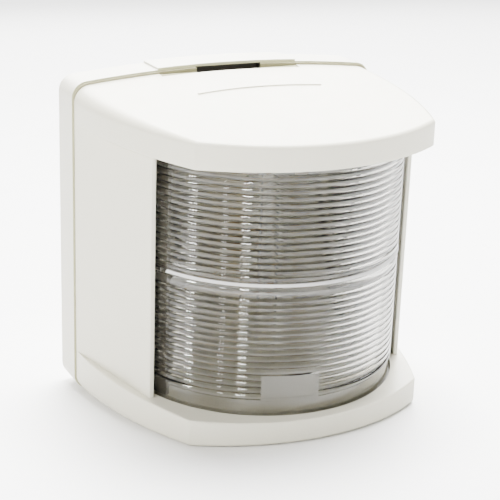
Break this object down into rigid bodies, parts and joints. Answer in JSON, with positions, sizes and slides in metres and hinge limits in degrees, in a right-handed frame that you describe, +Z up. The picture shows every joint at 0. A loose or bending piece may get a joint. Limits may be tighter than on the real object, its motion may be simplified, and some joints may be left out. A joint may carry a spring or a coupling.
{
  "type": "navigation light",
  "caption": "Bulkhead-mounted boat stern light: ribbed clear sector lens between two visor plates, front that pulls off a gasketed rear base, sprung release latch and tubular lamp.",
  "frame": {"origin": "centre of the flat back face, which lies on the bulkhead", "axes": "+Z up, +Y out of the back into the bulkhead, the light shines along -Y, +X to the right seen along +Y"},
  "size_m": [0.1, 0.0827, 0.1006],
  "materials": {
    "housing_plastic": "moulded satin gloss",
    "base_plastic": "moulded satin gloss",
    "gasket_rubber": "matte",
    "lens_clear": "polished",
    "screen_black": "matte",
    "seal_silicone": "satin",
    "latch_plastic": "satin",
    "spring_steel": "drawn wire",
    "ivory_plastic": "satin",
    "brass_strip": "rolled",
    "bronze_spring": "rolled",
    "rivet_brass": "turned",
    "lamp_glass": "polished",
    "lamp_cap": "nickel plated",
    "filament": "drawn wire",
    "screw_steel": "satin",
    "grommet_rubber": "matte"
  },
  "bodies": {
    "base": {"base_shell": "base_plastic", "seam_gasket": "gasket_rubber", "cable_grommet": "grommet_rubber", "latch_spring": "spring_steel", "bulb_carrier": "ivory_plastic", "upper_conductor": "brass_strip", "lower_conductor": "brass_strip", "contact_rivets": "rivet_brass", "terminal_block": "ivory_plastic", "terminal_inserts": "brass_strip", "terminal_screws": "screw_steel", "carrier_screws": "screw_steel"},
    "front": {"front_housing": "housing_plastic", "lens": "lens_clear", "cutoff_screens": "screen_black", "lens_rim_seals": "seal_silicone", "lens_side_seals": "seal_silicone"},
    "latch": {"release_latch": "latch_plastic"},
    "upper_spring": {"upper_contact": "bronze_spring"},
    "lower_spring": {"lower_contact": "bronze_spring"},
    "lamp": {"bulb_glass": "lamp_glass", "upper_bulb_cap": "lamp_cap", "lower_bulb_cap": "lamp_cap", "bulb_filament": "filament"}
  },
  "joints": [
    {"name": "front_pull", "type": "slide", "parent": "base", "child": "front", "axis": [0, -0.9951, 0.0988], "range_m": [0, 0.085]},
    {"name": "latch_press", "type": "slide", "parent": "base", "child": "latch", "axis": [0, 0, -1], "range_m": [0, 0.0027], "stiffness_N_per_m": 700, "springref_m": -0.003, "deforming": ["latch_spring"]},
    {"name": "upper_contact_flex", "type": "hinge", "parent": "base", "child": "upper_spring", "pos_m": [0, -0.026, 0.02105], "axis": [-1, 0, 0], "range_deg": [0, 8], "stiffness_Nm_per_rad": 0.06, "springref_deg": -5.73},
    {"name": "lower_contact_flex", "type": "hinge", "parent": "base", "child": "lower_spring", "pos_m": [0, -0.026, -0.02145], "axis": [1, 0, 0], "range_deg": [0, 8], "stiffness_Nm_per_rad": 0.06, "springref_deg": -5.73},
    {"name": "lamp_pull", "type": "slide", "parent": "base", "child": "lamp", "axis": [0, -1, 0], "range_m": [0, 0.024]}
  ]
}
